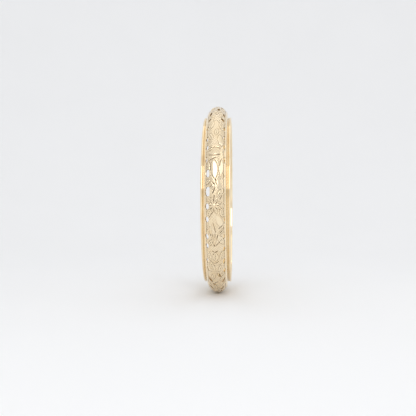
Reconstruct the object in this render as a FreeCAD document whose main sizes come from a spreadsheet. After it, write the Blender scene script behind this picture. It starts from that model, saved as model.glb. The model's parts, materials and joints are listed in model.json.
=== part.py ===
import FreeCAD, Part
import math
import os
import re
import Sketcher
from FreeCAD import Vector

# Hinged bangle bracelet: a hollow, pierced half-round dome between two wire rails,
# in two halves joined by a hinge at the top and a spring-tongue box clasp at the bottom.
# Frame: origin at the centre of the ring, +X along the wrist, +Z up to the hinge,
# the front half on the -Y side and the rear half on the +Y side. Millimetres.

SIZES = [
    # alias, value, meaning
    ("inner_radius", 29.7, "radius of the wrist opening"),
    ("band_width", 10.0, "width of the band along the wrist"),
    ("strip_thickness", 0.4, "flat inner strip that carries dome, wire and bead"),
    ("edge_round", 0.25, "comfort rounding of the strip's outer inside edge"),
    ("bead_width", 0.9, "width of the polished outer bead"),
    ("bead_height", 0.9, "height of the outer bead above the strip"),
    ("wire_width", 0.35, "width of the thin wire between bead and dome"),
    ("wire_height", 0.8, "height of the thin wire above the strip"),
    ("dome_wall", 0.45, "sheet thickness of the dome"),
    ("dome_foot", 1.2, "straight foot of the dome, from the strip to the half round"),
    ("seam_gap", 0.1, "gap between the two halves where they meet"),
    ("plate_thickness", 0.45, "end plates that close the hollow halves"),
    ("pin_depth", 2.45, "hinge pin axis below the crown of the dome"),
    ("pin_radius", 0.4, "hinge pin"),
    ("pin_clearance", 0.03, "radial running clearance of the pin in the middle knuckle"),
    ("barrel_radius", 0.75, "outside radius of the hinge knuckles"),
    ("barrel_clearance", 0.15, "room between the knuckles and the facing end plate"),
    ("middle_knuckle", 1.7, "length of the front half's knuckle"),
    ("barrel_side_room", 0.19, "room between the barrel's ends and the dome's wall"),
    ("knuckle_gap", 0.05, "gap between neighbouring knuckles"),
    ("opening_angle", 44.0, "how far the rear half swings open, degrees"),
    ("notch_margin", 0.75, "extra angle on each side of the notch above the pin, degrees"),
    ("tongue_length", 5.0, "reach of the clasp tongue into the front half"),
    ("tongue_width", 3.0, "width of the tongue and of its spring leaf"),
    ("tongue_thickness", 0.45, "lower, fixed strip of the tongue"),
    ("tongue_depth", 3.5, "top of the fixed strip below the crown of the dome"),
    ("fold_radius", 0.3, "rolled fold at the tongue's tip, where the leaf turns back"),
    ("fold_gap", 0.1, "gap between the fixed strip and the fold"),
    ("fold_lift", 0.15, "height of the fold's centre above the fixed strip"),
    ("leaf_thickness", 0.3, "spring leaf"),
    ("leaf_angle", 19.0, "rise of the relaxed spring leaf, degrees"),
    ("catch_setback", 0.25, "gap between the leaf's end and the plate it catches behind"),
    ("catch_depth", 0.4, "how far the leaf's end stands past the edge of the slot"),
    ("slot_clearance", 0.25, "room beside the tongue in the slot and in the catch box"),
    ("slot_drop", 0.25, "room under the tongue in the slot and in the catch box"),
    ("neck_width", 1.0, "neck that joins the thumb tab to the leaf"),
    ("neck_clearance", 0.15, "room on each side of the neck in its slot"),
    ("neck_thickness", 0.35, "thickness of the upright part of the neck"),
    ("box_wall", 0.25, "walls of the catch box"),
    ("box_end_room", 0.2, "room between the fold and the end of the catch box"),
    ("box_top_room", 0.35, "room between the catch box walls and the dome"),
    ("tab_width", 2.8, "thumb tab width"),
    ("tab_length", 1.7, "thumb tab length"),
    ("tab_thickness", 0.6, "thumb tab thickness"),
    ("tab_sink", 0.35, "depth of the thumb tab's face below the crown of the dome"),
    ("tab_start", 0.2, "distance from the seam to the thumb tab"),
    ("tab_clearance", 0.25, "gap between the thumb tab and its recess"),
    ("tab_swing_room", 0.15, "extra room behind the tab for its swing"),
]

# Sizes that follow from the ones above.
DERIVED = [
    ("half_width", "band_width / 2"),
    ("strip_top", "inner_radius + strip_thickness"),
    ("bead_inner_x", "half_width - bead_width"),
    ("bead_centre", "strip_top + bead_height - bead_width / 2"),
    ("dome_radius", "bead_inner_x - wire_width"),
    ("wire_centre", "strip_top + wire_height - wire_width / 2"),
    ("dome_inner", "dome_radius - dome_wall"),
    ("tube_centre", "strip_top + dome_foot"),
    ("crown_radius", "tube_centre + dome_radius"),
    ("seam_angle", "asin(seam_gap / 2 / inner_radius)"),
    ("half_sweep", "180 deg - 2 * seam_angle"),
    ("pin_axis", "crown_radius - pin_depth"),
    ("barrel_reach", "pin_axis + barrel_radius - tube_centre"),
    ("barrel_half", "sqrt(dome_inner ^ 2 - barrel_reach ^ 2) - barrel_side_room"),
    ("side_knuckle", "barrel_half - middle_knuckle / 2 - knuckle_gap"),
    ("hinge_plate_start", "asin((barrel_radius + barrel_clearance) / strip_top)"),
    ("plate_angle", "asin(plate_thickness / strip_top)"),
    ("tongue_top", "crown_radius - tongue_depth"),
    ("tongue_low", "tongue_top - tongue_thickness"),
    ("fold_y", "-(tongue_length + fold_gap + fold_radius)"),
    ("fold_r", "tongue_top + fold_lift"),
    ("plate_back", "crown_radius * sin(seam_angle + plate_angle)"),
    ("leaf_end_y", "-(plate_back + catch_setback)"),
    ("leaf_half", "leaf_thickness / 2 / cos(leaf_angle * 1 deg)"),
    ("leaf_end_r", "fold_r + (leaf_end_y - fold_y) * tan(leaf_angle * 1 deg)"),
    ("slot_top", "leaf_end_r + leaf_half - catch_depth"),
    ("box_half", "tongue_width / 2 + slot_clearance + box_wall"),
    ("box_far_y", "fold_y - fold_radius - box_end_room"),
    ("box_roof", "tube_centre + sqrt(dome_inner ^ 2 - box_half ^ 2)"),
    ("box_top", "sqrt(box_roof ^ 2 - box_far_y ^ 2) - box_top_room"),
    ("box_bottom", "tongue_low - slot_drop - box_wall"),
    ("tab_end", "tab_start + tab_length"),
    ("recess_length", "tab_end + tab_clearance + tab_swing_room"),
    ("tongue_plate_start", "asin(recess_length / strip_top)"),
    ("tab_top", "crown_radius - tab_sink"),
]


# ---------------------------------------------------------------- document and sheet
doc = FreeCAD.newDocument("bangle")
sheet = doc.addObject("Spreadsheet::Sheet", "Sizes")
for row, (alias, value, meaning) in enumerate(SIZES, start=1):
    sheet.set(f"A{row}", meaning)
    sheet.set(f"B{row}", str(value))
    sheet.setAlias(f"B{row}", alias)
for row, (alias, formula) in enumerate(DERIVED, start=len(SIZES) + 1):
    sheet.set(f"A{row}", "derived")
    sheet.set(f"B{row}", "=" + formula)
    sheet.setAlias(f"B{row}", alias)
doc.recompute()

ALIASES = [entry[0] for entry in SIZES] + [entry[0] for entry in DERIVED]


def size(alias):
    """The value of one sheet cell: a plain number, or degrees for an angle."""
    value = sheet.get(alias)
    return float(getattr(value, "Value", value))


def bound(formula):
    """A formula in alias names, written so that another object can read the sheet."""
    return re.sub(r"\b(" + "|".join(ALIASES) + r")\b", r"Sizes.\1", formula)


probe = doc.addObject("App::FeaturePython", "Probe")
probe.addProperty("App::PropertyFloat", "Number")


def worked_out(formula):
    """The present value of such a formula, for a sketch's first drawing."""
    probe.setExpression("Number", bound(formula))
    probe.recompute()
    return probe.Number


# ------------------------------------------------------------------- sketch helpers
def new_body(label):
    body = doc.addObject("PartDesign::Body", label)
    body.Label = label
    return body


def new_sketch(body, role):
    """A sketch on one of the body's own origin planes."""
    sketch = body.newObject("Sketcher::SketchObject", body.Label + "_sketch")
    plane = next(item for item in body.Origin.OriginFeatures if item.Role == role)
    sketch.AttachmentSupport = [(plane, "")]
    sketch.MapMode = "FlatFace"
    return sketch


def hold_point(sketch, geometry, end, direction, formula):
    """Hold one coordinate of a point at a formula; None puts the point on that axis."""
    kind, axis = {"across": ("DistanceX", -2), "up": ("DistanceY", -1)}[direction]
    if formula is None:
        sketch.addConstraint(Sketcher.Constraint("PointOnObject", geometry, end, axis))
        return
    place = Sketcher.Constraint(kind, -1, 1, geometry, end, worked_out(formula))
    index = sketch.addConstraint(place)
    sketch.setExpression(f"Constraints[{index}]", bound(formula))


def fix_point(sketch, geometry, end, across, up):
    hold_point(sketch, geometry, end, "across", across)
    hold_point(sketch, geometry, end, "up", up)


def value_of(formula):
    return 0.0 if formula is None else worked_out(formula)


def draw_outline(sketch, corners):
    """A closed outline. Each corner is (across, up) and may add a bulge to the next one:
    (across, up, ("up" or "across", centre formula, outward sign)) draws an arc."""
    places = [Vector(value_of(corner[0]), value_of(corner[1]), 0) for corner in corners]
    first_ends = []
    last_ends = []
    for index, corner in enumerate(corners):
        start = places[index]
        finish = places[(index + 1) % len(corners)]
        if len(corner) == 2:
            geometry = sketch.addGeometry(Part.LineSegment(start, finish), False)
            first_ends.append((geometry, 1))
            last_ends.append((geometry, 2))
            continue
        direction, centre_formula, turn = corner[2]
        centre = arc_centre(start, finish, direction, value_of(centre_formula))
        angle_start = math.atan2(start.y - centre.y, start.x - centre.x)
        angle_finish = math.atan2(finish.y - centre.y, finish.x - centre.x)
        circle = Part.Circle(centre, Vector(0, 0, 1), start.distanceToPoint(centre))
        if turn > 0:
            arc = Part.ArcOfCircle(circle, angle_start, angle_finish)
        else:
            arc = Part.ArcOfCircle(circle, angle_finish, angle_start)
        geometry = sketch.addGeometry(arc, False)
        first_ends.append((geometry, 1 if turn > 0 else 2))
        last_ends.append((geometry, 2 if turn > 0 else 1))
        hold_point(sketch, geometry, 3, direction, centre_formula)
    for index, corner in enumerate(corners):
        previous = last_ends[index - 1]
        current = first_ends[index]
        sketch.addConstraint(Sketcher.Constraint("Coincident", *previous, *current))
        fix_point(sketch, current[0], current[1], corner[0], corner[1])


def arc_centre(start, finish, direction, coordinate):
    """The point as far from both ends whose one coordinate is given."""
    middle = (start + finish) / 2
    along = finish - start
    if direction == "up":
        return Vector(middle.x - along.y * (coordinate - middle.y) / along.x, coordinate, 0)
    return Vector(coordinate, middle.y - along.x * (coordinate - middle.x) / along.y, 0)


def signed(sign, formula):
    return f"{sign} * ({formula})"


def revolve(body, sketch, angle):
    """Turn a section about the wrist axis, evenly to both sides of its plane."""
    turn = body.newObject("PartDesign::Revolution", body.Label + "_turn")
    turn.Profile = sketch
    turn.ReferenceAxis = (sketch, ["H_Axis"])
    turn.Midplane = True
    turn.setExpression("Angle", bound(angle))


def pad(body, sketch, length):
    """Thicken an outline evenly to both sides of its plane."""
    block = body.newObject("PartDesign::Pad", body.Label + "_pad")
    block.Profile = sketch
    block.Midplane = True
    block.setExpression("Length", bound(length))


def cut_out(body, sketch, length):
    """Remove an outline evenly from both sides of its plane."""
    doc.recompute()
    before = body.Shape.Volume
    pocket = body.newObject("PartDesign::Pocket", body.Label + "_pocket")
    pocket.Profile = sketch
    pocket.Midplane = True
    pocket.setExpression("Length", bound(length))
    doc.recompute()
    if not body.Shape.Volume < before:
        raise RuntimeError(body.Label + ": a pocket removed nothing")


def tilt_about_wrist_axis(body, angle):
    body.setExpression(
        "Placement",
        f"create(<<placement>>; create(<<vector>>; 0; 0; 0);"
        f" create(<<rotation>>; create(<<vector>>; 1; 0; 0); {bound(angle)}))",
    )


# --------------------------------------------------------------------- rails and wires
FRONT = -1
REAR = 1
LEFT = -1
RIGHT = 1
SIDES = {"left": LEFT, "right": RIGHT}
HALVES = {"front": FRONT, "rear": REAR}


def half_ring(label, half, corners):
    """One half of a ring: a section drawn as (x, radius) and turned about the wrist axis."""
    body = new_body(label)
    sketch = new_sketch(body, "XY_Plane")
    draw_outline(sketch, corners(half))
    revolve(body, sketch, "half_sweep")
    return body


def rail(label, half, side):
    """Inner strip with the polished half-round bead along its outer edge."""
    def corners(sign):
        turn = -sign * side
        return [
            (signed(side, "dome_inner"), signed(sign, "inner_radius")),
            (
                signed(side, "half_width - edge_round"),
                signed(sign, "inner_radius"),
                ("across", signed(side, "half_width - edge_round"), -turn),
            ),
            (signed(side, "half_width"), signed(sign, "inner_radius + edge_round")),
            (
                signed(side, "half_width"),
                signed(sign, "bead_centre"),
                ("up", signed(sign, "bead_centre"), -turn),
            ),
            (signed(side, "bead_inner_x"), signed(sign, "bead_centre")),
            (signed(side, "bead_inner_x"), signed(sign, "strip_top")),
            (signed(side, "dome_inner"), signed(sign, "strip_top")),
        ]
    return half_ring(label, half, corners)


def inner_wire(label, half, side):
    """Thin round-topped wire in the groove between the bead and the dome's foot."""
    def corners(sign):
        turn = -sign * side
        return [
            (signed(side, "dome_radius"), signed(sign, "strip_top")),
            (signed(side, "bead_inner_x"), signed(sign, "strip_top")),
            (
                signed(side, "bead_inner_x"),
                signed(sign, "wire_centre"),
                ("up", signed(sign, "wire_centre"), -turn),
            ),
            (signed(side, "dome_radius"), signed(sign, "wire_centre")),
        ]
    return half_ring(label, half, corners)


# ------------------------------------------------------------------------------- domes
def dome_blank(label, half):
    """The hollow half-round shell with straight feet, before it is pierced."""
    def corners(sign):
        return [
            (signed(-1, "dome_radius"), signed(sign, "strip_top")),
            (
                signed(-1, "dome_radius"),
                signed(sign, "tube_centre"),
                ("up", signed(sign, "tube_centre"), -sign),
            ),
            ("dome_radius", signed(sign, "tube_centre")),
            ("dome_radius", signed(sign, "strip_top")),
            ("dome_inner", signed(sign, "strip_top")),
            (
                "dome_inner",
                signed(sign, "tube_centre"),
                ("up", signed(sign, "tube_centre"), sign),
            ),
            (signed(-1, "dome_inner"), signed(sign, "tube_centre")),
            (signed(-1, "dome_inner"), signed(sign, "strip_top")),
        ]
    return half_ring(label, half, corners)


def cut_hinge_notch(body):
    """Both halves lean back above the pin, so that the bangle can open."""
    sketch = new_sketch(body, "YZ_Plane")
    lean = "tan((opening_angle / 2 + notch_margin) * 1 deg) * (crown_radius - pin_axis + bead_width)"
    draw_outline(sketch, [
        (None, "pin_axis"),
        (lean, "crown_radius + bead_width"),
        (signed(-1, lean), "crown_radius + bead_width"),
    ])
    cut_out(body, sketch, "band_width")


def cut_tab_recess(body):
    """Notch in the crown at the clasp end of the rear half, where the thumb tab sits."""
    sketch = new_sketch(body, "YZ_Plane")
    draw_outline(sketch, [
        (signed(-1, "recess_length"), signed(-1, "tube_centre + dome_inner / 2")),
        ("recess_length", signed(-1, "tube_centre + dome_inner / 2")),
        ("recess_length", signed(-1, "crown_radius + bead_width")),
        (signed(-1, "recess_length"), signed(-1, "crown_radius + bead_width")),
    ])
    cut_out(body, sketch, "tab_width + 2 * tab_clearance")


# Leaf-shaped openings of one half. Each is (place round the ring from the middle of the
# half towards the hinge, place round the tube from its crown towards +X, length along the
# ring, width round the tube, tilt of the upper tip towards +X), all in degrees.
OPENINGS = [
    (75.0, -28.0, 4.6, 14.0, 12.0),
    (75.0, 28.0, 4.6, 14.0, -12.0),
    (67.0, 9.0, 4.6, 14.0, 0.0),
    (60.5, -37.0, 5.0, 17.0, 10.0),
    (60.0, 46.0, 4.2, 15.0, -10.0),
    (52.8, -43.0, 3.2, 17.0, 35.0),
    (52.8, 39.0, 3.6, 19.0, -35.0),
    (45.5, -54.0, 3.4, 19.0, 0.0),
    (45.0, 52.0, 3.4, 15.0, 0.0),
    (36.5, -52.0, 3.6, 24.0, 0.0),
    (37.5, 54.0, 3.2, 15.0, 0.0),
    (30.0, -52.0, 3.0, 24.0, 0.0),
    (30.5, 54.0, 3.4, 15.0, 0.0),
    (21.8, -56.0, 4.4, 14.0, 0.0),
    (22.0, 55.0, 4.0, 14.0, 0.0),
    (13.8, -44.0, 4.6, 34.0, -12.0),
    (12.4, 45.0, 3.2, 20.0, 0.0),
    (3.6, -43.0, 5.4, 44.0, 0.0),
    (4.0, 45.0, 3.2, 19.0, 15.0),
    (-4.6, -49.0, 3.4, 30.0, 0.0),
    (-4.4, 51.0, 2.8, 20.0, 0.0),
    (-11.8, -50.0, 3.2, 28.0, 0.0),
    (-12.2, 56.0, 4.0, 12.0, 0.0),
    (-17.8, -27.0, 5.2, 17.0, -8.0),
    (-21.8, -52.0, 3.4, 26.0, 0.0),
    (-22.0, 52.0, 2.8, 18.0, 0.0),
    (-27.8, -52.0, 3.2, 24.0, 0.0),
    (-30.0, 54.0, 3.0, 17.0, 0.0),
    (-38.5, -53.0, 3.4, 19.0, 0.0),
    (-38.8, 52.0, 4.4, 19.0, 0.0),
    (-45.0, -49.0, 3.8, 18.0, -12.0),
    (-46.8, 54.0, 4.2, 16.0, 0.0),
    (-48.8, 15.0, 5.4, 15.0, -28.0),
    (-54.5, -40.0, 6.2, 18.0, -36.0),
    (-59.5, -12.0, 2.6, 12.0, -40.0),
    (-56.4, 45.0, 4.8, 18.0, 25.0),
    (-66.0, -38.0, 5.4, 16.0, -35.0),
    (-68.0, 34.0, 5.2, 15.0, 30.0),
    (-75.5, -22.0, 4.2, 13.0, -15.0),
    (-75.5, 22.0, 4.2, 13.0, 15.0),
]
CUTTER_OVERSHOOT = 0.5      # the cutter starts this far outside the dome


def leaf_prism(round_ring, round_tube, length, width, tilt):
    """A pointed leaf cut straight through the dome's wall, at the middle of the front half."""
    half_length = math.radians(length) * size("crown_radius") / 2
    half_width = math.radians(width) * size("dome_radius") / 2
    depth = 2 * size("dome_wall") + half_width * half_width / size("dome_radius")
    tips = [Vector(0, 0, half_length), Vector(0, 0, -half_length)]
    edges = [
        Part.Arc(tips[0], Vector(side * half_width, 0, 0), tips[1]).toShape()
        for side in (RIGHT, LEFT)
    ]
    leaf = Part.Face(Part.Wire(edges))
    leaf.rotate(Vector(0, 0, 0), Vector(0, 1, 0), tilt)
    leaf.translate(Vector(0, -size("dome_radius") - CUTTER_OVERSHOOT, 0))
    prism = leaf.extrude(Vector(0, CUTTER_OVERSHOOT + depth, 0))
    prism.rotate(Vector(0, 0, 0), Vector(0, 0, 1), round_tube)
    prism.translate(Vector(0, -size("tube_centre"), 0))
    prism.rotate(Vector(0, 0, 0), Vector(1, 0, 0), -round_ring)
    return prism


def piercing(label, half):
    """All openings of one half as one cutting tool."""
    tool = doc.addObject("Part::Feature", label)
    tool.Label = label
    prisms = Part.makeCompound([leaf_prism(*opening) for opening in OPENINGS])
    if half == REAR:
        prisms.rotate(Vector(0, 0, 0), Vector(1, 0, 0), 180)
    tool.Shape = prisms
    return tool


def pierced_dome(label, half):
    blank = dome_blank(label + "_blank", half)
    cut_hinge_notch(blank)
    if half == REAR:
        cut_tab_recess(blank)
    dome = doc.addObject("Part::Cut", label)
    dome.Label = label
    dome.Base = blank
    dome.Tool = piercing(label + "_piercing", half)
    return dome


# -------------------------------------------------------------------------- end plates
def end_plate(label, side, start, end_sign):
    """A plate that fills the hollow section; side is FRONT or REAR of the seam, start its
    angle from the seam, and end_sign is +1 at the hinge and -1 at the clasp."""
    body = new_body(label)
    sketch = new_sketch(body, "XZ_Plane")
    draw_outline(sketch, [
        (signed(-1, "dome_inner"), signed(end_sign, "inner_radius")),
        (
            signed(-1, "dome_inner"),
            signed(end_sign, "tube_centre"),
            ("up", signed(end_sign, "tube_centre"), -end_sign),
        ),
        ("dome_inner", signed(end_sign, "tube_centre")),
        ("dome_inner", signed(end_sign, "inner_radius")),
    ])
    revolve(body, sketch, "plate_angle")
    tilt_about_wrist_axis(body, signed(-side * end_sign, f"{start} + plate_angle / 2"))
    return body


def cut_tongue_slot(body):
    """T-shaped way through the front clasp plate: wide for the tongue, narrow for the neck."""
    sketch = new_sketch(body, "XZ_Plane")
    wide = "tongue_width / 2 + slot_clearance"
    narrow = "neck_width / 2 + neck_clearance"
    bottom = signed(-1, "tongue_low - slot_drop")
    shoulder = signed(-1, "slot_top")
    top = signed(-1, "leaf_end_r + leaf_half + slot_clearance")
    draw_outline(sketch, [
        (signed(-1, wide), bottom),
        (wide, bottom),
        (wide, shoulder),
        (narrow, shoulder),
        (narrow, top),
        (signed(-1, narrow), top),
        (signed(-1, narrow), shoulder),
        (signed(-1, wide), shoulder),
    ])
    cut_out(body, sketch, "band_width")


# ------------------------------------------------------------------------------- hinge
def knuckle(label, half, length, hole, across):
    """Barrel with a web back to its own half's end plate, and a bore for the pin."""
    body = new_body(label)
    low = "pin_axis - barrel_radius"
    high = "pin_axis + barrel_radius"
    slope = "tan(hinge_plate_start)"
    sketch = new_sketch(body, "YZ_Plane")
    draw_outline(sketch, [
        (signed(half, f"({high}) * {slope}"), high),
        (signed(half, f"({low}) * {slope}"), low),
        (None, low, ("across", None, -half)),
        (None, high),
    ])
    pad(body, sketch, length)
    bore = new_sketch(body, "YZ_Plane")
    draw_circle(bore, None, "pin_axis", hole)
    cut_out(body, bore, f"2 * ({length})")
    body.setExpression("Placement.Base.x", bound(across))
    return body


def draw_circle(sketch, across, up, radius):
    centre = Vector(value_of(across), value_of(up), 0)
    circle = Part.Circle(centre, Vector(0, 0, 1), worked_out(radius))
    geometry = sketch.addGeometry(circle, False)
    fix_point(sketch, geometry, 3, across, up)
    index = sketch.addConstraint(Sketcher.Constraint("Radius", geometry, worked_out(radius)))
    sketch.setExpression(f"Constraints[{index}]", bound(radius))


def hinge_pin(label):
    body = new_body(label)
    sketch = new_sketch(body, "YZ_Plane")
    draw_circle(sketch, None, "pin_axis", "pin_radius")
    pad(body, sketch, "2 * barrel_half")
    return body


# ------------------------------------------------------------------------------- clasp
def catch_box(label):
    """Open-topped channel behind the slotted plate, which guides the tongue."""
    body = new_body(label)
    face = "tan(seam_angle + plate_angle)"
    sketch = new_sketch(body, "YZ_Plane")
    draw_outline(sketch, [
        (f"-box_bottom * {face}", signed(-1, "box_bottom")),
        ("box_far_y", signed(-1, "box_bottom")),
        ("box_far_y", signed(-1, "box_top")),
        (f"-box_top * {face}", signed(-1, "box_top")),
    ])
    pad(body, sketch, "2 * box_half")
    channel = new_sketch(body, "YZ_Plane")
    draw_outline(channel, [
        ("plate_back", signed(-1, "box_bottom + box_wall")),
        ("box_far_y - box_wall", signed(-1, "box_bottom + box_wall")),
        ("box_far_y - box_wall", signed(-1, "box_top + box_wall")),
        ("plate_back", signed(-1, "box_top + box_wall")),
    ])
    cut_out(body, channel, "tongue_width + 2 * slot_clearance")
    return body


def tongue_base(label):
    """Fixed lower strip of the tongue, from the rear half's clasp plate into the box."""
    body = new_body(label)
    sketch = new_sketch(body, "YZ_Plane")
    face = "tan(tongue_plate_start)"
    draw_outline(sketch, [
        (signed(-1, "tongue_length"), signed(-1, "tongue_low")),
        (f"tongue_low * {face}", signed(-1, "tongue_low")),
        (f"tongue_top * {face}", signed(-1, "tongue_top")),
        (signed(-1, "tongue_length"), signed(-1, "tongue_top")),
    ])
    pad(body, sketch, "tongue_width")
    return body


def tongue_leaf(label):
    """Springy upper leaf, which rises from the fold and catches behind the slotted plate."""
    body = new_body(label)
    roll = new_sketch(body, "YZ_Plane")
    draw_circle(roll, "fold_y", signed(-1, "fold_r"), "fold_radius")
    pad(body, roll, "tongue_width")
    strip = new_sketch(body, "YZ_Plane")
    draw_outline(strip, [
        ("fold_y", signed(-1, "fold_r - leaf_half")),
        ("leaf_end_y", signed(-1, "leaf_end_r - leaf_half")),
        ("leaf_end_y", signed(-1, "leaf_end_r + leaf_half")),
        ("fold_y", signed(-1, "fold_r + leaf_half")),
    ])
    pad(body, strip, "tongue_width")
    return body


def thumb_tab(label):
    """Thumb tab on a narrow neck, which passes through the slot to the leaf's end."""
    body = new_body(label)
    neck = new_sketch(body, "YZ_Plane")
    draw_outline(neck, [
        ("leaf_end_y", signed(-1, "leaf_end_r - leaf_half")),
        ("tab_start + neck_thickness", signed(-1, "leaf_end_r - leaf_half")),
        ("tab_start + neck_thickness", signed(-1, "tab_top - tab_thickness / 2")),
        ("tab_start", signed(-1, "tab_top - tab_thickness / 2")),
        ("tab_start", signed(-1, "leaf_end_r + leaf_half")),
        ("leaf_end_y", signed(-1, "leaf_end_r + leaf_half")),
    ])
    pad(body, neck, "neck_width")
    face = new_sketch(body, "YZ_Plane")
    draw_outline(face, [
        ("tab_start", signed(-1, "tab_top")),
        ("tab_end", signed(-1, "tab_top")),
        ("tab_end", signed(-1, "tab_top - tab_thickness")),
        ("tab_start", signed(-1, "tab_top - tab_thickness")),
    ])
    pad(body, face, "tab_width")
    return body


# ------------------------------------------------------------------------ the sub-parts
parts = []
for half_name, half in HALVES.items():
    parts.append(pierced_dome(half_name + "_dome", half))
    for side_name, side in SIDES.items():
        parts.append(rail(f"{half_name}_{side_name}_rail", half, side))
        parts.append(inner_wire(f"{half_name}_{side_name}_wire", half, side))
    parts.append(end_plate(half_name + "_hinge_plate", half, "hinge_plate_start", 1))

front_clasp_plate = end_plate("front_clasp_plate", FRONT, "seam_angle", -1)
cut_tongue_slot(front_clasp_plate)
parts.append(front_clasp_plate)
parts.append(end_plate("rear_clasp_plate", REAR, "tongue_plate_start", -1))

parts.append(knuckle("front_knuckle", FRONT, "middle_knuckle", "pin_radius + pin_clearance", "0 mm"))
for side_name, side in SIDES.items():
    offset = signed(side, "middle_knuckle / 2 + knuckle_gap + side_knuckle / 2")
    parts.append(knuckle(f"rear_{side_name}_knuckle", REAR, "side_knuckle", "pin_radius", offset))
parts.append(hinge_pin("hinge_pin"))

parts.append(catch_box("catch_box"))
parts.append(tongue_base("tongue_base"))
parts.append(tongue_leaf("tongue_leaf"))
parts.append(thumb_tab("thumb_tab"))

doc.recompute()

# ------------------------------------------------------------------- checks and export
failed = [item.Label for item in doc.Objects if {"Invalid", "Error"} & set(item.State)]
if failed:
    raise RuntimeError("failed objects: " + ", ".join(failed))
for part in parts:
    if part.Shape.isNull() or not part.Shape.isValid() or not part.Shape.Solids:
        raise RuntimeError("bad shape: " + part.Label)

os.makedirs("parts", exist_ok=True)
for part in parts:
    part.Shape.exportStep(f"parts/{part.Label}.step")
    print(part.Label, len(part.Shape.Solids), round(part.Shape.Volume, 3))
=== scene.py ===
import json
import math

import bpy
import numpy as np
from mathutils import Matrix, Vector


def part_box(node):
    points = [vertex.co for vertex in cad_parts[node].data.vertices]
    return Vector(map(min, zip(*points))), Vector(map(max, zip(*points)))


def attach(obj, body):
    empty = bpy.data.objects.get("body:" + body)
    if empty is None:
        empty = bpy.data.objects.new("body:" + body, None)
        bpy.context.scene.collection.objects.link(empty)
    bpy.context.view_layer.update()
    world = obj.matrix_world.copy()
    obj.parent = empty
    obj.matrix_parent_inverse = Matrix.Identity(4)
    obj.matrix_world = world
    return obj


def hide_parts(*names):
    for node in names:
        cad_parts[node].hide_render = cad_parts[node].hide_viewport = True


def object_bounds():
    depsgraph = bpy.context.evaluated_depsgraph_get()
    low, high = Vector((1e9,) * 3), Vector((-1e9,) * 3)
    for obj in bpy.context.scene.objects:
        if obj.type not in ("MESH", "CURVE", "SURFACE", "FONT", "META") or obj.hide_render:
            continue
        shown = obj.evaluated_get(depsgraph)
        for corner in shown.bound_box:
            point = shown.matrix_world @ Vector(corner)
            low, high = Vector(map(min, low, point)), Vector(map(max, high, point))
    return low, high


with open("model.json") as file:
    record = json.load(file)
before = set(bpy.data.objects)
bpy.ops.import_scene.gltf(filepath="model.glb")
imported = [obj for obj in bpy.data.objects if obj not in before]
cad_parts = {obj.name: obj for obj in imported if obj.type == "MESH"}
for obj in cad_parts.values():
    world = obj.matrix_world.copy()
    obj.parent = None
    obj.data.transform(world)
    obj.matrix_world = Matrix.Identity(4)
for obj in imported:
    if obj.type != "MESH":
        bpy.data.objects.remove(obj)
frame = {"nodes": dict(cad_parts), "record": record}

# Pierced and engraved gold bangle. Everything is laid out in millimetres and scaled to
# metres when a mesh is made. The dome's ornament is drawn on the unrolled band: "along" is
# the distance round the ring from the middle of a half, "across" the distance round the
# tube from its crown towards +X.

cad_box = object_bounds()
MM = 0.001

# ------------------------------------------------------------------ sizes from the frame
RECORD = frame["record"]


def box_mm(node):
    low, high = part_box(node)
    return np.array(low) / MM, np.array(high) / MM


def joint_place(name):
    joint = next(item for item in RECORD["behaviour"]["joints"] if item["name"] == name)
    return np.array(joint["pos_m"]) / MM


DOME_LOW, DOME_HIGH = box_mm("front_dome")
RAIL_LOW, RAIL_HIGH = box_mm("front_right_rail")
WIRE_LOW, WIRE_HIGH = box_mm("front_right_wire")
PIN_AXIS = joint_place("bangle_hinge")[2]
OPENING_ANGLE = math.radians(next(
    item for item in RECORD["behaviour"]["joints"] if item["name"] == "bangle_hinge"
)["range_deg"][1])
INNER_RADIUS = RECORD["mounts"][0]["dims"]["r_mm"]
DOME_RADIUS = DOME_HIGH[0]
CROWN_RADIUS = -DOME_LOW[1]
TUBE_CENTRE = CROWN_RADIUS - DOME_RADIUS
DOME_INNER = box_mm("front_hinge_plate")[1][0]
HALF_WIDTH = RAIL_HIGH[0]
RAIL_RADIUS = -RAIL_LOW[1]
BEAD_INNER = WIRE_HIGH[0]
WIRE_RADIUS = -WIRE_LOW[1]

# Sizes of the CAD model that its boxes and its record don't give.
STRIP_THICKNESS = 0.4
STRIP_TOP = INNER_RADIUS + STRIP_THICKNESS
OUTER_EDGE_ROUND = 0.25
INNER_EDGE_ROUND = 0.05
SEAM_GAP = 0.1
NOTCH_MARGIN = math.radians(0.75)
TAB_RECESS_LENGTH = 2.3
TAB_RECESS_HALF_WIDTH = 1.65

FRONT = 1
REAR = -1
HALVES = {"front": FRONT, "rear": REAR}
SIDES = {"left": -1, "right": 1}
SEAM_ANGLE = math.asin(SEAM_GAP / 2 / INNER_RADIUS)


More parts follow.
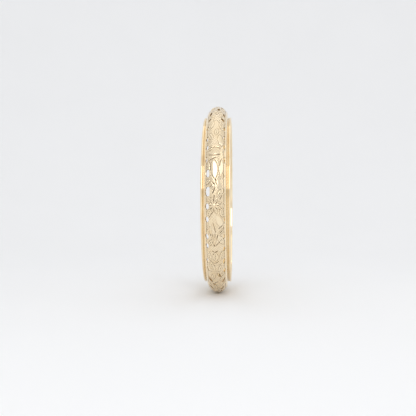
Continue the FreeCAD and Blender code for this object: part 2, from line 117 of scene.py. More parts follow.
# --------------------------------------------------------------------- the dome's ornament
# Openings: ring angle, tube angle, length and width, all in degrees, and the tilt of the
# upper tip towards +X. They are the openings of the CAD dome.
OPENINGS = [
    (75.0, -28.0, 4.6, 14.0, 12.0),
    (75.0, 28.0, 4.6, 14.0, -12.0),
    (67.0, 9.0, 4.6, 14.0, 0.0),
    (60.5, -37.0, 5.0, 17.0, 10.0),
    (60.0, 46.0, 4.2, 15.0, -10.0),
    (52.8, -43.0, 3.2, 17.0, 35.0),
    (52.8, 39.0, 3.6, 19.0, -35.0),
    (45.5, -54.0, 3.4, 19.0, 0.0),
    (45.0, 52.0, 3.4, 15.0, 0.0),
    (36.5, -52.0, 3.6, 24.0, 0.0),
    (37.5, 54.0, 3.2, 15.0, 0.0),
    (30.0, -52.0, 3.0, 24.0, 0.0),
    (30.5, 54.0, 3.4, 15.0, 0.0),
    (21.8, -56.0, 4.4, 14.0, 0.0),
    (22.0, 55.0, 4.0, 14.0, 0.0),
    (13.8, -44.0, 4.6, 34.0, -12.0),
    (12.4, 45.0, 3.2, 20.0, 0.0),
    (3.6, -43.0, 5.4, 44.0, 0.0),
    (4.0, 45.0, 3.2, 19.0, 15.0),
    (-4.6, -49.0, 3.4, 30.0, 0.0),
    (-4.4, 51.0, 2.8, 20.0, 0.0),
    (-11.8, -50.0, 3.2, 28.0, 0.0),
    (-12.2, 56.0, 4.0, 12.0, 0.0),
    (-17.8, -27.0, 5.2, 17.0, -8.0),
    (-21.8, -52.0, 3.4, 26.0, 0.0),
    (-22.0, 52.0, 2.8, 18.0, 0.0),
    (-27.8, -52.0, 3.2, 24.0, 0.0),
    (-30.0, 54.0, 3.0, 17.0, 0.0),
    (-38.5, -53.0, 3.4, 19.0, 0.0),
    (-38.8, 52.0, 4.4, 19.0, 0.0),
    (-45.0, -49.0, 3.8, 18.0, -12.0),
    (-46.8, 54.0, 4.2, 16.0, 0.0),
    (-48.8, 15.0, 5.4, 15.0, -28.0),
    (-54.5, -40.0, 6.2, 18.0, -36.0),
    (-59.5, -12.0, 2.6, 12.0, -40.0),
    (-56.4, 45.0, 4.8, 18.0, 25.0),
    (-66.0, -38.0, 5.4, 16.0, -35.0),
    (-68.0, 34.0, 5.2, 15.0, 30.0),
    (-75.5, -22.0, 4.2, 13.0, -15.0),
    (-75.5, 22.0, 4.2, 13.0, 15.0),
]

# Raised leaves: ring angle in degrees, across, length, width in mm, tilt in degrees, and
# what is cut into them.
LEAVES = [
    (80.0, 0.0, 4.2, 1.6, 0.0, "veins"),
    (71.0, -1.6, 4.4, 1.5, 25.0, "veins"),
    (70.0, 2.3, 4.0, 1.4, -25.0, "veins"),
    (62.0, -0.6, 4.0, 1.4, 20.0, "crease"),
    (60.0, 1.5, 3.8, 1.3, -22.0, "veins"),
    (56.2, -1.5, 2.4, 1.0, -50.0, "crease"),
    (56.2, 1.5, 2.4, 1.0, 50.0, "crease"),
    (49.6, -1.3, 2.6, 1.1, 40.0, "crease"),
    (49.6, 1.2, 2.6, 1.1, -40.0, "crease"),
    (46.0, -1.9, 4.6, 2.2, 22.0, "hatch"),
    (45.5, 2.0, 4.2, 1.9, -15.0, "veins"),
    (40.0, 0.3, 3.6, 1.5, 10.0, "veins"),
    (37.0, -1.9, 4.0, 1.7, -25.0, "veins"),
    (34.0, 1.8, 5.2, 2.2, -8.0, "lines"),
    (28.5, -1.9, 3.4, 1.5, 60.0, "crease"),
    (16.0, -0.25, 7.6, 2.5, -5.0, "plain"),
    (17.0, 2.3, 6.6, 1.7, 3.0, "plain"),
    (18.0, -2.3, 3.6, 1.3, -8.0, "plain"),
    (9.0, -2.8, 2.6, 1.5, 65.0, "crease"),
    (7.6, 1.6, 4.6, 1.5, -10.0, "scoop"),
    (5.8, -0.9, 3.0, 1.1, 28.0, "crease"),
    (3.0, 1.9, 3.8, 1.4, 35.0, "veins"),
    (-8.2, -2.2, 3.6, 1.7, 20.0, "hatch"),
    (-8.0, 2.5, 3.4, 1.7, -18.0, "hatch"),
    (-12.6, 1.6, 4.6, 2.2, -25.0, "scoop"),
    (-13.4, -1.6, 4.4, 1.2, 14.0, "scoop"),
    (-19.6, -3.0, 3.4, 0.9, -10.0, "crease"),
    (-18.6, 2.2, 3.0, 1.2, 50.0, "crease"),
    (-23.5, 2.2, 4.4, 2.0, -35.0, "lines"),
    (-25.0, -1.7, 3.6, 1.3, 30.0, "veins"),
    (-34.0, 0.0, 3.8, 2.0, 0.0, "veins"),
    (-33.5, 2.4, 4.4, 1.8, 15.0, "hatch"),
    (-34.0, -2.3, 4.2, 1.6, -15.0, "veins"),
    (-41.5, -1.2, 4.4, 1.8, -20.0, "veins"),
    (-42.5, 1.8, 4.6, 1.7, 20.0, "veins"),
    (-50.5, -1.1, 4.4, 1.5, 14.0, "veins"),
    (-52.0, 2.4, 4.0, 1.4, 35.0, "crease"),
    (-60.5, 0.6, 4.6, 1.6, -15.0, "veins"),
    (-61.5, 3.0, 3.4, 1.3, 30.0, "crease"),
    (-61.5, -2.9, 3.4, 1.3, -30.0, "crease"),
    (-70.5, -0.4, 5.0, 1.7, 10.0, "veins"),
    (-81.0, 0.0, 4.2, 1.6, 0.0, "veins"),
]

# Flowers of bright-cut petals: ring angle, across, number of petals, length, width and
# the angle of the first petal.
FLOWERS = [
    (-4.0, -0.35, 8, 2.5, 0.95, 22.5),
    (-63.5, 0.1, 8, 2.1, 0.8, 22.5),
    (52.8, 0.0, 6, 1.6, 0.7, 30.0),
]

# Cross cuts: ring angle, across, width over the band, rise of the middle and depth.
FOLDS = [
    (30.6, 0.5, 4.6, 0.5, 0.06),
    (28.2, -0.2, 4.6, 0.55, 0.17),
    (24.8, -0.4, 4.8, -0.5, 0.17),
    (-29.6, -0.2, 2.2, -0.7, 0.14),
    (-31.2, -0.4, 4.4, 0.6, 0.07),
    (-36.6, -0.4, 3.6, -1.1, 0.13),
    (-38.4, -0.3, 4.6, -1.2, 0.07),
    (-46.6, -0.2, 4.2, 0.9, 0.07),
    (-58.5, 0.2, 4.4, 0.8, 0.07),
    (66.0, -2.0, 2.6, 0.5, 0.07),
    (42.0, 2.0, 2.6, 0.6, 0.07),
]

# Single cuts of the graver: ring angle and across of both ends, and depth.
STROKES = [
    (21.0, -2.2, 22.8, 0.4, 0.16),
    (8.6, -0.9, 7.4, -0.2, 0.17),
    (5.6, 0.0, 2.6, -0.8, 0.17),
    (1.6, -0.2, -1.4, -0.5, 0.17),
    (10.4, 0.1, 7.4, 0.6, 0.14),
    (2.8, 3.0, -0.6, 1.7, 0.12),
    (-15.0, 2.8, -16.6, 1.3, 0.16),
    (-17.6, 2.7, -19.2, 1.5, 0.16),
    (-13.6, -0.6, -18.6, 0.2, 0.14),
    (-18.8, -1.9, -26.8, -0.5, 0.12),
    (-19.6, -0.9, -26.8, -0.4, 0.14),
    (-19.4, 0.0, -26.8, -0.3, 0.14),
    (-20.0, 0.9, -26.8, -0.2, 0.14),
    (-23.0, 2.4, -27.0, -0.1, 0.12),
    (-55.0, 0.6, -60.0, -1.6, 0.10),
    (-55.0, 1.2, -59.0, 2.8, 0.10),
    (57.0, -0.4, 64.0, 1.9, 0.10),
    (57.0, 0.4, 66.0, -1.9, 0.10),
]

# Scrolls: ring angle, across, outer radius, turns, start angle in degrees and handedness.
SCROLLS = [
    (-16.6, -3.0, 0.85, 1.2, 60.0, 1),
    (-17.0, 2.9, 0.75, 1.3, 120.0, -1),
    (33.0, -2.2, 0.80, 1.3, 200.0, 1),
    (-47.5, 2.4, 0.75, 1.2, 100.0, -1),
    (74.0, 0.0, 0.75, 1.2, 270.0, 1),
]

# Sizes of the relief in mm. Heights and depths are measured from the engraved ground.
ORNAMENT_HALF = 3.68      # half width of the engraved field
FIELD_FADE = 0.18         # the ground rises to the plain border over this width
GROUND_DEPTH = 0.13       # the engraved ground lies this far under the crown
DEEPEST = 0.33            # nothing is cut deeper than this under the crown
RIM_WIDTH = 0.22          # rounded edge of each opening
RIM_DROP = 0.12
LIP_RISE = 0.06           # faint raised lip beside that edge
LIP_DISTANCE = 0.3
LIP_WIDTH = 0.16
RIPPLE_RISE = 0.012       # slow unevenness of hand work
OUTLINE_WIDTH = 0.13
LEAF_OUTLINE_DEPTH = 0.055
LEAF_SHOULDER = 0.22      # a leaf rises to its full height over this width
LEAF_RISE = 0.12
PLAIN_EXTRA_RISE = 0.02
SCOOP_DEPTH = 0.16
MIDRIB_DEPTH = 0.09
MIDRIB_WIDTH = 0.13
VEIN_LEAN = math.radians(35.0)
VEIN_DEPTH = 0.08
VEIN_PITCH = 0.56
HATCH_DEPTH = 0.07
HATCH_LEAN = math.pi / 4
HATCH_PITCH = 0.5
HATCH_SOFTNESS = 0.5
LINE_DEPTH = 0.07
LINE_PITCH = 0.5
FLOWER_EYE = 0.5          # the petals start this far from the flower's middle
PETAL_SHOULDER = 0.2
PETAL_RISE = 0.13
PETAL_SCOOP = 0.16
PETAL_SCOOP_WIDTH = 0.16
PETAL_OUTLINE_DEPTH = 0.08
EYE_CLEARING = 0.6
EYE_WIDTH = 0.45
EYE_RISE = 0.13
FOLD_WIDTH = 0.19
SCROLL_DEPTH = 0.10
SCROLL_WIDTH = 0.15
SCROLL_POINTS = 40
SCROLL_EYE = 0.85         # a scroll winds in by this share of its radius
STROKE_WIDTH = 0.11       # width of a single cut at its ends, and what its middle adds
STROKE_SWELL = 0.12
BORDER_DEPTH = 0.19       # groove between the engraved field and the plain border
BORDER_WIDTH = 0.26
CAVITY_REACH = 0.32       # a spot's depth is judged against points this far away
FAR_AWAY = 10.0

# The dome's mesh, in mm.
STEP = 0.152              # mesh step in the engraved field
BORDER_STEP = 0.43
FINE_BORDER = 0.9         # the fine mesh runs this far past the engraved field
SNAP_SHARE = 0.36         # a vertex within this share of a step from an edge moves onto it
LEAST_SLOPE = 0.3


def turned(across, along, centre_across, centre_along, tilt):
    """Coordinates along and across a tilted leaf."""
    angle = math.radians(tilt)
    x = across - centre_across
    y = along - centre_along
    lengthwise = x * math.sin(angle) + y * math.cos(angle)
    crosswise = x * math.cos(angle) - y * math.sin(angle)
    return lengthwise, crosswise


def lens_distance(lengthwise, crosswise, length, width):
    """Distance outside (positive) or inside (negative) a pointed leaf."""
    radius = (length * length + width * width) / (4 * width)
    return np.hypot(lengthwise, np.abs(crosswise) + radius - width / 2) - radius


def bell(distance, width):
    return np.exp(-np.square(distance / width))


def smooth_step(value):
    value = np.clip(value, 0.0, 1.0)
    return value * value * (3 - 2 * value)


def opening_distance(across, along):
    """Distance from the nearest opening's edge, negative inside an opening."""
    nearest = np.full(across.shape, FAR_AWAY)
    for ring, tube, length, width, tilt in OPENINGS:
        u, v = turned(
            across, along, math.radians(tube) * DOME_RADIUS, math.radians(ring) * CROWN_RADIUS, tilt
        )
        distance = lens_distance(
            u, v, math.radians(length) * CROWN_RADIUS, math.radians(width) * DOME_RADIUS
        )
        nearest = np.minimum(nearest, distance)
    return nearest


def leaf_relief(across, along, leaf):
    """Distance from one raised leaf's edge, its mask, and its height over the ground."""
    ring, centre, length, width, tilt, style = leaf
    u, v = turned(across, along, centre, math.radians(ring) * CROWN_RADIUS, tilt)
    distance = lens_distance(u, v, length, width)
    inside = smooth_step(-distance / LEAF_SHOULDER)
    height = LEAF_RISE * inside
    if style == "plain":
        height = height + PLAIN_EXTRA_RISE * inside
    if style == "scoop":
        height = height - SCOOP_DEPTH * inside * (1 - np.square(2 * v / width))
    if style in ("veins", "crease", "hatch"):
        height = height - MIDRIB_DEPTH * bell(v, MIDRIB_WIDTH) * inside
    if style == "veins":
        phase = (u * math.cos(VEIN_LEAN) + np.abs(v) * math.sin(VEIN_LEAN)) / VEIN_PITCH
        height = height - VEIN_DEPTH * inside * np.square(np.sin(math.pi * phase))
    if style == "hatch":
        for side in (-1, 1):
            phase = (u * math.sin(HATCH_LEAN) + side * v * math.cos(HATCH_LEAN)) / HATCH_PITCH
            cut = bell(np.abs(np.sin(math.pi * phase)), HATCH_SOFTNESS)
            height = height - HATCH_DEPTH * inside * cut
    if style == "lines":
        height = height - LINE_DEPTH * inside * np.square(np.sin(math.pi * v / LINE_PITCH))
    return distance, inside, height


def relief(across, along):
    """Height of the engraved surface under the crown, never above it, and how much of a
    spot is open ground between the raised motifs."""
    height = np.full(across.shape, 0.0)
    ground = np.full(across.shape, 1.0)
    ripple = np.sin(2.1 * along + 1.3 * np.sin(1.7 * across)) * np.sin(3.1 * across + 0.9 * along)
    height += RIPPLE_RISE * ripple
    for leaf in LEAVES:
        distance, inside, raised = leaf_relief(across, along, leaf)
        height = height * (1 - inside) + raised
        height -= LEAF_OUTLINE_DEPTH * bell(distance, OUTLINE_WIDTH)
        ground = ground * (1 - inside)
    for ring, centre, count, length, width, first in FLOWERS:
        middle = math.radians(ring) * CROWN_RADIUS
        for number in range(count):
            angle = first + number * 360.0 / count
            reach = FLOWER_EYE + length / 2
            u, v = turned(
                across,
                along,
                centre + reach * math.sin(math.radians(angle)),
                middle + reach * math.cos(math.radians(angle)),
                angle,
            )
            distance = lens_distance(u, v, length, width)
            inside = smooth_step(-distance / PETAL_SHOULDER)
            petal = PETAL_RISE - PETAL_SCOOP * bell(v, PETAL_SCOOP_WIDTH)
            height = height * (1 - inside) + inside * petal
            ground = ground * (1 - inside)
            height -= PETAL_OUTLINE_DEPTH * bell(distance, OUTLINE_WIDTH)
        from_middle = np.hypot(across - centre, along - middle)
        height = height * (1 - bell(from_middle, EYE_CLEARING))
        height = height + EYE_RISE * bell(from_middle, EYE_WIDTH)
    for ring, centre, span, rise, depth in FOLDS:
        share = (across - centre) / (span / 2)
        path = math.radians(ring) * CROWN_RADIUS + rise * (1 - np.square(share))
        window = smooth_step((1.05 - np.abs(share)) / 0.35)
        height -= depth * bell(along - path, FOLD_WIDTH) * window
    for ring_a, across_a, ring_b, across_b, depth in STROKES:
        height -= depth * stroke(across, along, ring_a, across_a, ring_b, across_b)
    for scroll in SCROLLS:
        height -= SCROLL_DEPTH * bell(scroll_distance(across, along, *scroll), SCROLL_WIDTH)
    inside_field = smooth_step((ORNAMENT_HALF - np.abs(across)) / FIELD_FADE)
    ground = ground * inside_field
    height = (height - GROUND_DEPTH) * inside_field
    height -= BORDER_DEPTH * bell(np.abs(across) - ORNAMENT_HALF, BORDER_WIDTH)
    edge = opening_distance(across, along)
    height += LIP_RISE * bell(edge - LIP_DISTANCE, LIP_WIDTH) * inside_field
    height -= RIM_DROP * bell(np.maximum(edge, 0.0), RIM_WIDTH / 2)
    return np.clip(height, -DEEPEST, 0.0), ground


def cavity(across, along, height):
    """How far a spot lies below the ground around it: positive in cuts, negative on edges."""
    around = np.zeros(across.shape)
    for step_across, step_along in ((1, 0), (-1, 0), (0, 1), (0, -1)):
        around += relief(
            across + CAVITY_REACH * step_across, along + CAVITY_REACH * step_along
        )[0]
    return around / 4 - height


def stroke(across, along, ring_a, across_a, ring_b, across_b):
    """A tapered cut between two points, 1 along its middle and 0 away from it."""
    start = np.array([across_a, math.radians(ring_a) * CROWN_RADIUS])
    finish = np.array([across_b, math.radians(ring_b) * CROWN_RADIUS])
    run = finish - start
    share = ((across - start[0]) * run[0] + (along - start[1]) * run[1]) / run.dot(run)
    share = np.clip(share, 0.0, 1.0)
    distance = np.hypot(across - start[0] - share * run[0], along - start[1] - share * run[1])
    width = STROKE_WIDTH + STROKE_SWELL * np.sin(math.pi * share)
    return bell(distance, width)


def scroll_distance(across, along, ring, centre, radius, turns, start, hand):
    """Distance to a spiral line that winds in to a small eye."""
    middle = math.radians(ring) * CROWN_RADIUS
    nearest = np.full(across.shape, FAR_AWAY)
    for share in np.linspace(0.0, 1.0, SCROLL_POINTS):
        angle = math.radians(start + hand * 360.0 * turns * share)
        reach = radius * (1 - SCROLL_EYE * share)
        spot = np.hypot(
            across - centre - reach * math.cos(angle), along - middle - reach * math.sin(angle)
        )
        nearest = np.minimum(nearest, spot)
    return nearest


# ---------------------------------------------------------------------- mesh of the dome
def section_place(across, drop):
    """(x, radius) of a point round the dome's section; drop is its depth under the skin."""
    quarter = math.pi / 2 * DOME_RADIUS
    tube = np.clip(across / DOME_RADIUS, -math.pi / 2, math.pi / 2)
    foot = np.maximum(np.abs(across) - quarter, 0.0)
    reach = DOME_RADIUS - drop
    return reach * np.sin(tube), TUBE_CENTRE + reach * np.cos(tube) - foot


def ring_place(x, radius, ring, half):
    """Points of the front (+1) or rear (-1) half from x, radius and ring angle."""
    return np.stack([x, -half * radius * np.cos(ring), half * radius * np.sin(ring)], axis=-1)


def cut_distance(across, along, half):
    """Distance from the edge of what is cut away: openings, hinge notch, tab recess."""
    nearest = opening_distance(across, along)
    x, radius = section_place(across, 0.0)
    place = ring_place(x, radius, along / CROWN_RADIUS, half)
    behind = np.abs(place[..., 1])
    above_pin = place[..., 2] - PIN_AXIS
    lean = OPENING_ANGLE / 2 + NOTCH_MARGIN
    notch = behind * math.cos(lean) - above_pin * math.sin(lean)
    nearest = np.where(above_pin > 0, np.minimum(nearest, notch), nearest)
    if half == REAR:
        beside = np.maximum(
            np.abs(place[..., 0]) - TAB_RECESS_HALF_WIDTH, behind - TAB_RECESS_LENGTH
        )
        at_clasp = (place[..., 2] < 0) & (np.abs(across) < DOME_RADIUS)
        nearest = np.where(at_clasp, np.minimum(nearest, beside), nearest)
    return nearest


def dome_columns():
    """Across positions: fine in the engraved field, wider on the plain flanks and feet."""
    quarter = math.pi / 2 * DOME_RADIUS
    foot = TUBE_CENTRE - STRIP_TOP
    fine_edge = ORNAMENT_HALF + FINE_BORDER
    fine = np.linspace(-fine_edge, fine_edge, int(round(2 * fine_edge / STEP)) + 1)
    flank = np.linspace(fine_edge, quarter, int(round((quarter - fine_edge) / BORDER_STEP)) + 1)[1:]
    feet = np.array([quarter + foot / 2, quarter + foot])
    side = np.concatenate([flank, feet])
    return np.concatenate([-side[::-1], fine, side])


def pierced_grid(half):
    """Vertices (across, along) and faces of the pierced skin of one half."""
    limit = (math.pi / 2 - SEAM_ANGLE) * CROWN_RADIUS
    rows = np.linspace(-limit, limit, int(round(2 * limit / STEP)) + 1)
    columns = dome_columns()
    along, across = np.meshgrid(rows, columns, indexing="ij")
    distance = cut_distance(across, along, half)
    slope_along, slope_across = np.gradient(distance, rows, columns)
    steepness = np.square(slope_along) + np.square(slope_across)
    near = (np.abs(distance) < SNAP_SHARE * STEP) & (steepness > LEAST_SLOPE)
    near[0, :] = near[-1, :] = False
    near[:, 0] = near[:, -1] = False
    shift = np.where(near, distance / np.maximum(steepness, LEAST_SLOPE), 0.0)
    across = across - shift * slope_across
    along = along - shift * slope_along
    distance = np.where(near, 0.0, distance)

    points = np.stack([across.ravel(), along.ravel()], axis=1).tolist()
    level = distance.ravel()
    index = np.arange(across.size).reshape(across.shape)
    corners = np.stack(
        [index[:-1, :-1], index[:-1, 1:], index[1:, 1:], index[1:, :-1]], axis=-1
    ).reshape(-1, 4)
    kept = level[corners]
    faces = corners[(kept >= 0).all(axis=1)].tolist()
    crossings = {}

    def crossing(a, b):
        key = (min(a, b), max(a, b))
        if key not in crossings:
            share = level[a] / (level[a] - level[b])
            crossings[key] = len(points)
            points.append([points[a][k] + share * (points[b][k] - points[a][k]) for k in (0, 1)])
        return crossings[key]

    mixed = corners[(kept < 0).any(axis=1) & (kept > 0).any(axis=1)]
    for cell in mixed.tolist():
        outline = []
        for a, b in zip(cell, cell[1:] + cell[:1]):
            if level[a] >= 0:
                outline.append(a)
            if level[a] * level[b] < 0:
                outline.append(crossing(a, b))
        if len(outline) >= 3:
            faces.append(outline)
    return np.array(points), faces


def shell(points, faces, half):
    """A closed shell: engraved skin outside, plain skin inside, walls along every edge."""
    across, along = points[:, 0], points[:, 1]
    ring = along / CROWN_RADIUS
    height, ground = relief(across, along)
    outer = ring_place(*section_place(across, -height), ring, half)
    inner = ring_place(*section_place(across, DOME_RADIUS - DOME_INNER), ring, half)
    count = len(points)
    edges = dict.fromkeys(
        (a, b) for face in faces for a, b in zip(face, face[1:] + face[:1])
    )
    walls = [[b, a, a + count, b + count] for a, b in edges if (b, a) not in edges]
    lining = [[corner + count for corner in reversed(face)] for face in faces]
    used = sorted({corner for face in faces for corner in face})
    order = {corner: number for number, corner in enumerate(used)}
    order.update({corner + count: number + len(used) for number, corner in enumerate(used)})
    places = np.concatenate([outer[used], inner[used]]) * MM
    every_face = [[order[corner] for corner in face] for face in faces + lining + walls]
    hollow = cavity(across, along, height)
    skin = np.stack([across, along, ground], axis=1)[used]
    lining_skin = skin * (1, 1, 0)
    hollow = np.concatenate([hollow[used], np.zeros(len(used))])
    return places, every_face, hollow, np.concatenate([skin, lining_skin])


# ------------------------------------------------------------------------------- meshes
DOME_SHARP_ANGLE = 48
LATHE_SHARP_ANGLE = 40
FLOOR_SHARP_ANGLE = 60


def make_object(name, places, faces, sharp_angle):
    mesh = bpy.data.meshes.new(name)
    mesh.from_pydata(places.tolist(), [], faces)
    mesh.validate()
    mesh.shade_smooth()
    mesh.set_sharp_from_angle(angle=math.radians(sharp_angle))
    piece = bpy.data.objects.new(name, mesh)
    bpy.context.scene.collection.objects.link(piece)
    return piece


def stand_in(piece, node, body, material):
    """The piece takes a CAD node's place on its body."""
    piece.data.materials.append(material)
    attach(piece, body)
    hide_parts(node)


def build_dome(half_name, half, material):
    points, faces = pierced_grid(half)
    places, every_face, hollow, skin = shell(points, faces, half)
    dome = make_object(half_name + "_pierced_dome", places, every_face, DOME_SHARP_ANGLE)
    # Depth of each spot below its surroundings; the engraved gold paints tarnish, grime and shade
    # into the cuts by it.
    layer = dome.data.attributes.new("hollow", "FLOAT", "POINT")
    layer.data.foreach_set("value", hollow.astype(np.float32))
    layer = dome.data.attributes.new("skin", "FLOAT_VECTOR", "POINT")
    layer.data.foreach_set("vector", skin.astype(np.float32).ravel())
    stand_in(dome, half_name + "_dome", half_name + "_half", material)
    return dome


RING_STEPS = 300
CORNER_STEPS = 5
BEAD_STEPS = 14
WIRE_STEPS = 10


def lathe_half(name, profile, half):
    """A closed section (x, radius) turned through one half of the ring."""
    limit = math.pi / 2 - SEAM_ANGLE
    rings = np.linspace(-limit, limit, RING_STEPS)
    profile = np.array(profile)
    x = np.broadcast_to(profile[:, 0], (RING_STEPS, len(profile)))
    radius = np.broadcast_to(profile[:, 1], (RING_STEPS, len(profile)))
    places = ring_place(x, radius, rings[:, None], half).reshape(-1, 3) * MM
    count = len(profile)
    faces = []
    for row in range(RING_STEPS - 1):
        for column in range(count):
            following = (column + 1) % count
            faces.append([
                row * count + column,
                row * count + following,
                (row + 1) * count + following,
                (row + 1) * count + column,
            ])
    faces.append(list(range(count))[::-1])
    faces.append([(RING_STEPS - 1) * count + column for column in range(count)])
    return make_object(name, places, faces, LATHE_SHARP_ANGLE)


def rounded(corners, radius_of):
    """An outline whose corners are rounded by short curves, CORNER_STEPS points each."""
    corners = [np.array(corner, dtype=float) for corner in corners]
    outline = []
    for number, corner in enumerate(corners):
        before = corners[number - 1] - corner
        after = corners[(number + 1) % len(corners)] - corner
        reach = radius_of[number]
        start = corner + before / np.linalg.norm(before) * reach
        finish = corner + after / np.linalg.norm(after) * reach
        for share in np.linspace(0.0, 1.0, CORNER_STEPS):
            outline.append(
                (1 - share) ** 2 * start + 2 * share * (1 - share) * corner + share ** 2 * finish
            )
    return outline


def half_round(x_from, x_to, top, steps):
    """Points over a half-round top, from x_from to x_to."""
    middle = (x_from + x_to) / 2
    reach = (x_to - x_from) / 2
    centre = top - abs(reach)
    angles = np.linspace(math.pi, 0.0, steps)
    return [(middle + reach * math.cos(a), centre + abs(reach) * math.sin(a)) for a in angles]


def rail_profile(side):
    """Section of a rail. The first corner only leads in to the edge below it, so its own
    points are left out."""
    bead = half_round(side * BEAD_INNER, side * HALF_WIDTH, RAIL_RADIUS, BEAD_STEPS)
    corners = [
        (side * HALF_WIDTH, STRIP_TOP),
        (side * HALF_WIDTH, INNER_RADIUS),
        (side * DOME_INNER, INNER_RADIUS),
    ]
    low_edges = rounded(corners, [0.0, OUTER_EDGE_ROUND, INNER_EDGE_ROUND])[CORNER_STEPS:]
    profile = [(side * BEAD_INNER, STRIP_TOP)] + bead + [tuple(point) for point in low_edges]
    profile.append((side * DOME_INNER, STRIP_TOP))
    return profile if side > 0 else profile[::-1]


def wire_profile(side):
    top = half_round(side * DOME_RADIUS, side * BEAD_INNER, WIRE_RADIUS, WIRE_STEPS)
    profile = [(side * DOME_RADIUS, STRIP_TOP)] + top + [(side * BEAD_INNER, STRIP_TOP)]
    return profile if side > 0 else profile[::-1]


# ---------------------------------------------------------------------------- materials
MARK_DEPTH = 0.02 * MM    # polishing marks
CUT_DEPTH = 0.03 * MM     # fine wavy cuts on the ground
CUT_TARNISH_AND_SHADE = 0.4           # share of tarnish and painted shade in them
SUNK_RANGE = (0.012, 0.06)     # mm below the surroundings where tarnish and painted shade start and are full
DEEP_RANGE = (0.038, 0.075)    # the same for grime and the painted shadow in the deepest cuts


def new_material(name):
    material = bpy.data.materials.new(name)
    material.use_nodes = True
    tree = material.node_tree
    shader = tree.nodes["Principled BSDF"]
    shader.inputs["Metallic"].default_value = 1.0
    return material, tree, shader


def position_in_mm(tree):
    """Object coordinates in millimetres."""
    place = tree.nodes.new("ShaderNodeTexCoord")
    scale = tree.nodes.new("ShaderNodeMapping")
    scale.inputs["Scale"].default_value = (1 / MM, 1 / MM, 1 / MM)
    tree.links.new(place.outputs["Object"], scale.inputs["Vector"])
    return scale.outputs["Vector"]


def noise(tree, vector, scale, detail=4.0):
    node = tree.nodes.new("ShaderNodeTexNoise")
    node.inputs["Scale"].default_value = scale
    node.inputs["Detail"].default_value = detail
    tree.links.new(vector, node.inputs["Vector"])
    return node.outputs["Fac"]


def remap(tree, value, low, high, to_low, to_high):
    node = tree.nodes.new("ShaderNodeMapRange")
    for name, number in (
        ("From Min", low), ("From Max", high), ("To Min", to_low), ("To Max", to_high)
    ):
        node.inputs[name].default_value = number
    tree.links.new(value, node.inputs["Value"])
    return node.outputs["Result"]


def blend_colours(tree, share, dark, light):
    node = tree.nodes.new("ShaderNodeMix")
    node.data_type = "RGBA"
    node.inputs["A"].default_value = (*dark, 1.0)
    node.inputs["B"].default_value = (*light, 1.0)
    tree.links.new(share, node.inputs["Factor"])
    return node.outputs["Result"]


def bump(tree, shader, height, strength, distance):
    node = tree.nodes.new("ShaderNodeBump")
    node.inputs["Strength"].default_value = strength
    node.inputs["Distance"].default_value = distance
    tree.links.new(height, node.inputs["Height"])
    tree.links.new(node.outputs["Normal"], shader.inputs["Normal"])
    return node


def scratched(tree, vector):
    """Fine polishing marks, drawn out along the ring, mixed with small dents."""
    stretch = tree.nodes.new("ShaderNodeMapping")
    stretch.inputs["Scale"].default_value = (9.0, 1.2, 1.2)
    tree.links.new(vector, stretch.inputs["Vector"])
    marks = noise(tree, stretch.outputs["Vector"], 2.4, 6.0)
    dents = noise(tree, vector, 0.7, 3.0)
    add = tree.nodes.new("ShaderNodeMath")
    add.operation = "ADD"
    tree.links.new(marks, add.inputs[0])
    tree.links.new(dents, add.inputs[1])
    return add.outputs["Value"]


def gold(name, dark, light, rough_low, rough_high, mark_strength):
    material, tree, shader = new_material(name)
    vector = position_in_mm(tree)
    cloud = noise(tree, vector, 0.35, 5.0)
    colour = blend_colours(tree, remap(tree, cloud, 0.35, 0.65, 0.0, 1.0), dark, light)
    tree.links.new(colour, shader.inputs["Base Color"])
    smear = noise(tree, vector, 1.1, 6.0)
    rough = remap(tree, smear, 0.3, 0.7, rough_low, rough_high)
    tree.links.new(rough, shader.inputs["Roughness"])
    bump(tree, shader, scratched(tree, vector), mark_strength, MARK_DEPTH)
    return material


def wriggle_cuts(tree):
    """Fine wavy cuts of the graver, crossing at a slant over the open ground."""
    skin = tree.nodes.new("ShaderNodeAttribute")
    skin.attribute_name = "skin"
    parts = tree.nodes.new("ShaderNodeSeparateXYZ")
    tree.links.new(skin.outputs["Vector"], parts.inputs["Vector"])
    open_ground = parts.outputs["Z"]
    lines = []
    for turn in (38.0, -47.0):
        slant = tree.nodes.new("ShaderNodeMapping")
        slant.inputs["Rotation"].default_value = (0, 0, math.radians(turn))
        tree.links.new(skin.outputs["Vector"], slant.inputs["Vector"])
        wave = tree.nodes.new("ShaderNodeTexWave")
        wave.inputs["Scale"].default_value = 0.46
        wave.inputs["Distortion"].default_value = 2.4
        wave.inputs["Detail"].default_value = 1.0
        wave.inputs["Detail Scale"].default_value = 0.8
        tree.links.new(slant.outputs["Vector"], wave.inputs["Vector"])
        lines.append(remap(tree, wave.outputs["Fac"], 0.70, 1.0, 0.0, 1.0))
    crossing = tree.nodes.new("ShaderNodeMath")
    crossing.operation = "MAXIMUM"
    tree.links.new(lines[0], crossing.inputs[0])
    tree.links.new(lines[1], crossing.inputs[1])
    masked = tree.nodes.new("ShaderNodeMath")
    masked.operation = "MULTIPLY"
    tree.links.new(crossing.outputs["Value"], masked.inputs[0])
    tree.links.new(open_ground, masked.inputs[1])
    return masked.outputs["Value"]


def stained_and_shaded(tree, colour, share, stain_and_shade):
    """The colour turned towards a stain and painted shade where the share is high."""
    mix = tree.nodes.new("ShaderNodeMix")
    mix.data_type = "RGBA"
    mix.inputs["B"].default_value = (*stain_and_shade, 1.0)
    tree.links.new(colour, mix.inputs["A"])
    tree.links.new(share, mix.inputs["Factor"])
    return mix.outputs["Result"]


